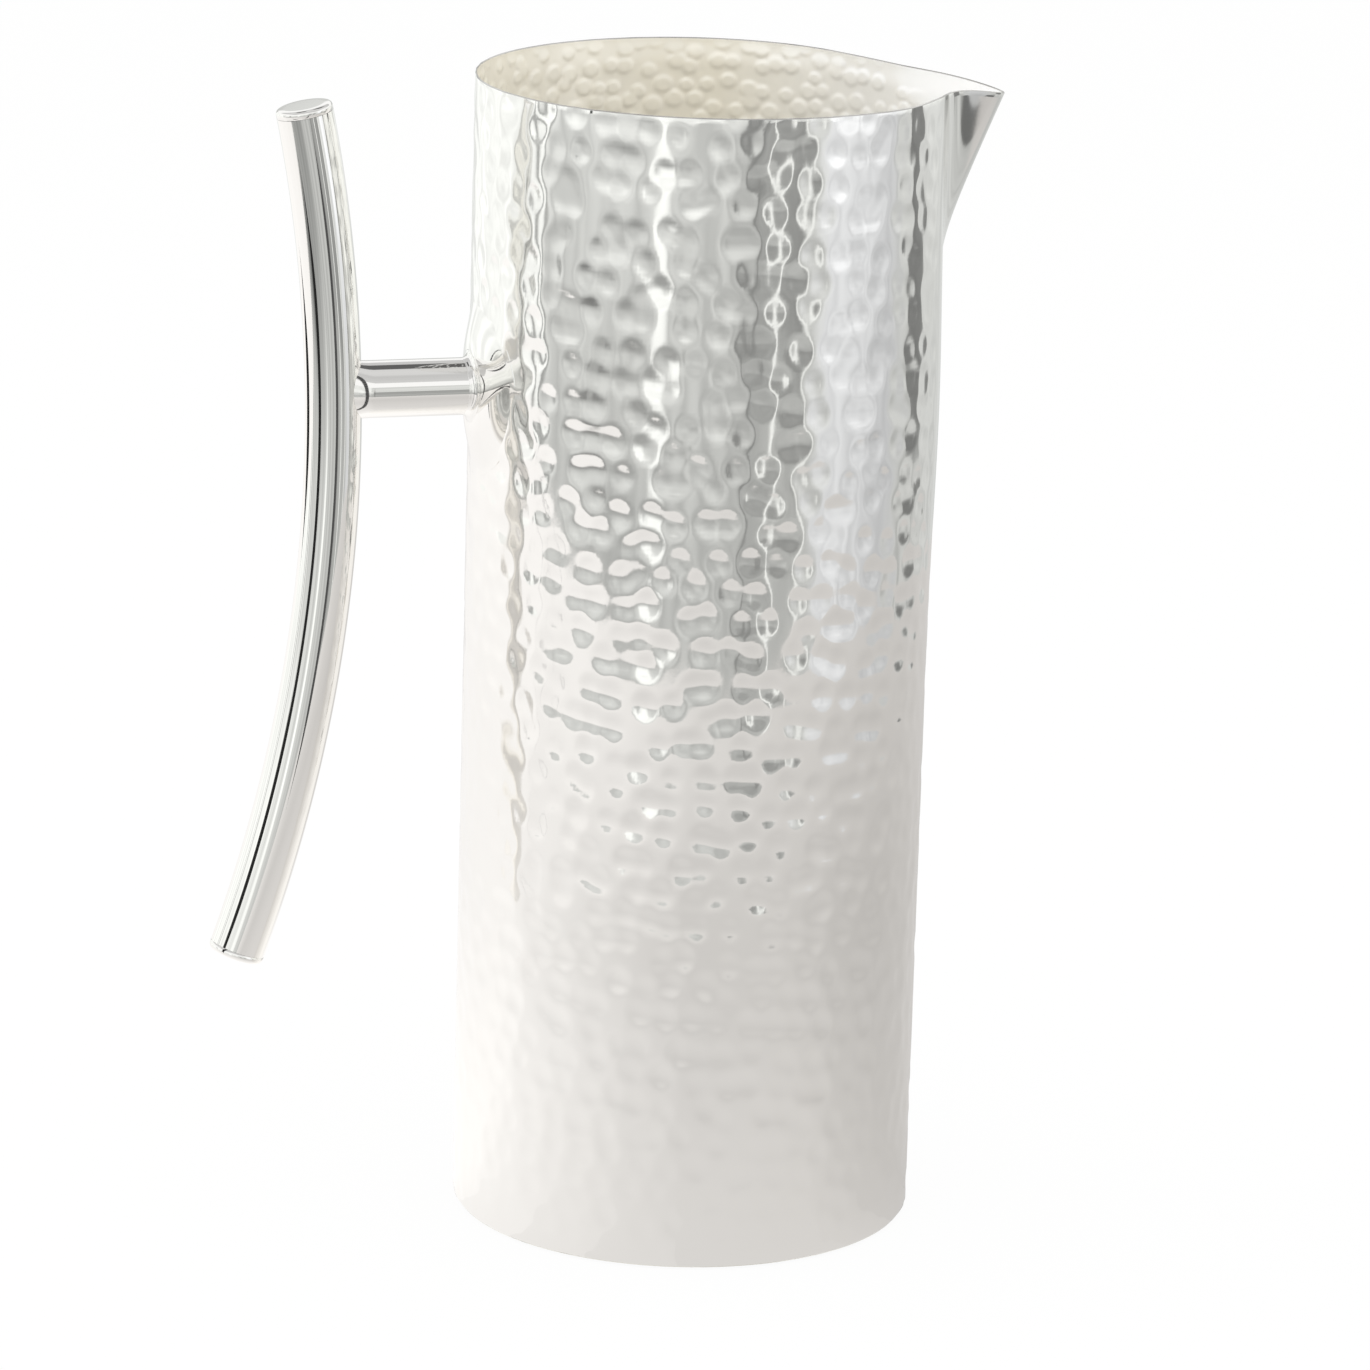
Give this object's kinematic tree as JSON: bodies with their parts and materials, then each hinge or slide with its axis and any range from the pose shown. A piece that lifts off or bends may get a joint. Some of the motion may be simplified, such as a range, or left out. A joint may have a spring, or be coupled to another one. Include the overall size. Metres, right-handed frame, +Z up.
{
  "type": "pitcher",
  "caption": "Tall straight-sided hammered metal pitcher with an open top, a pulled pouring beak and a bowed round bar grip held off the wall by a short stub",
  "frame": {"origin": "centre of the underside of the flat base, on the axis of the round wall", "axes": "+Z up along the axis of the wall, +X towards the tip of the beak, the grip on the -X side, +Y completes a right-handed frame"},
  "size_m": [0.1781, 0.104, 0.259],
  "materials": {
    "hammered_silver": "hammered sheet, polished bright, silver plated",
    "polished_silver": "smooth, mirror polished, silver plated",
    "base_silver": "plain sheet, bright",
    "solder": "dull run of solder",
    "braze": "dressed smooth and plated over"
  },
  "bodies": {
    "root": {"body_shell": "hammered_silver", "base_disc": "base_silver", "base_solder_ring": "solder", "handle_pad": "polished_silver", "handle_stub": "polished_silver", "pad_braze_ring": "braze", "grip_braze_bead": "braze", "grip_tube": "polished_silver", "grip_cap_top": "polished_silver", "grip_cap_bottom": "polished_silver"}
  },
  "joints": []
}
